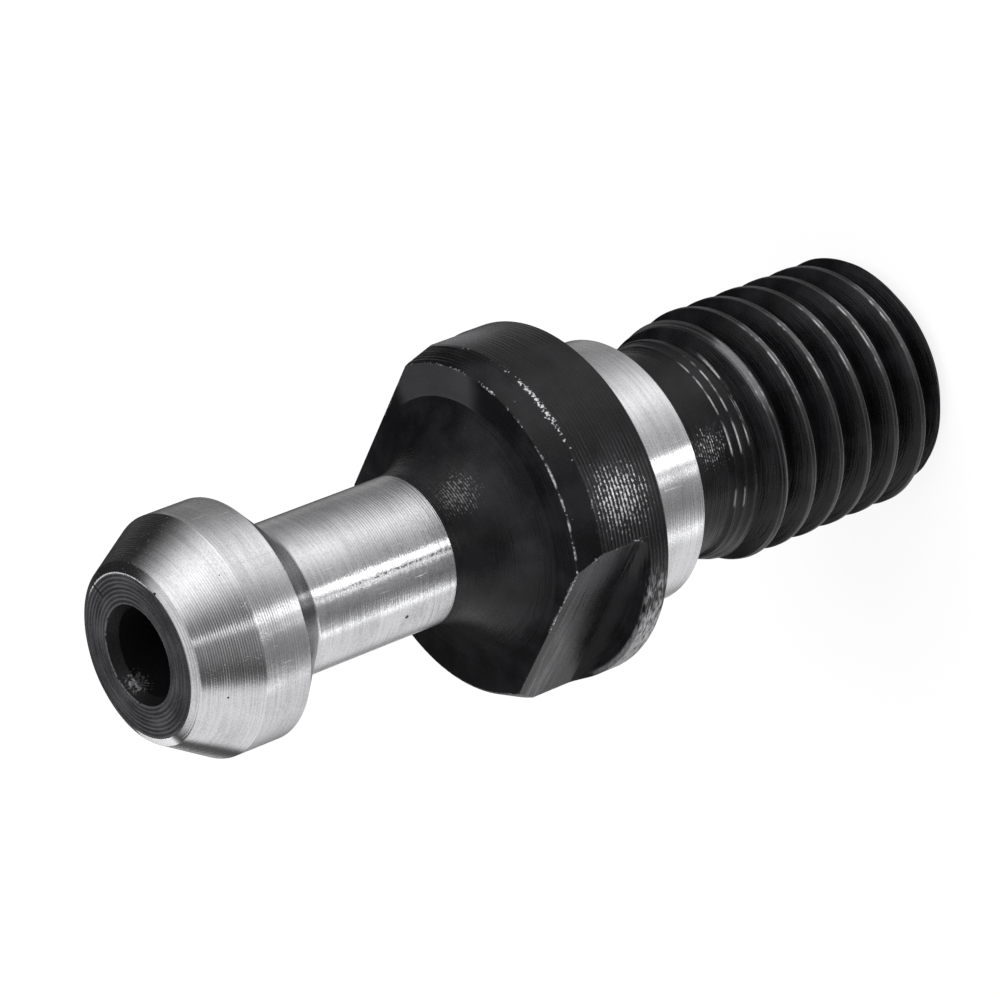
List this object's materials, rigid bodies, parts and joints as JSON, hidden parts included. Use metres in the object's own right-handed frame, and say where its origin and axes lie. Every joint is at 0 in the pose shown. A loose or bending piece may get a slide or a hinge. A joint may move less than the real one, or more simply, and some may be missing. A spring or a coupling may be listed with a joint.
{
  "type": "pull stud",
  "caption": "Pull stud for a size 30 steep-taper tool shank: coned gripping head, slim neck, flange with wrench flats, ground pilot, coarse thread and a coolant bore along its whole axis",
  "frame": {"origin": "centre of the end face at the free end of the thread, on the turning axis; the stud stands on that face", "axes": "+Z along the turning axis from the thread towards the head; the wrench flats face +Y and -Y; +X completes the right-handed frame"},
  "size_m": [0.0164, 0.0164, 0.043],
  "materials": {
    "stud_steel": "case-hardened steel, black oxide all over, with the head, the neck and the pilot ground bright"
  },
  "bodies": {
    "root": {"pull_stud": "stud_steel"}
  },
  "joints": []
}
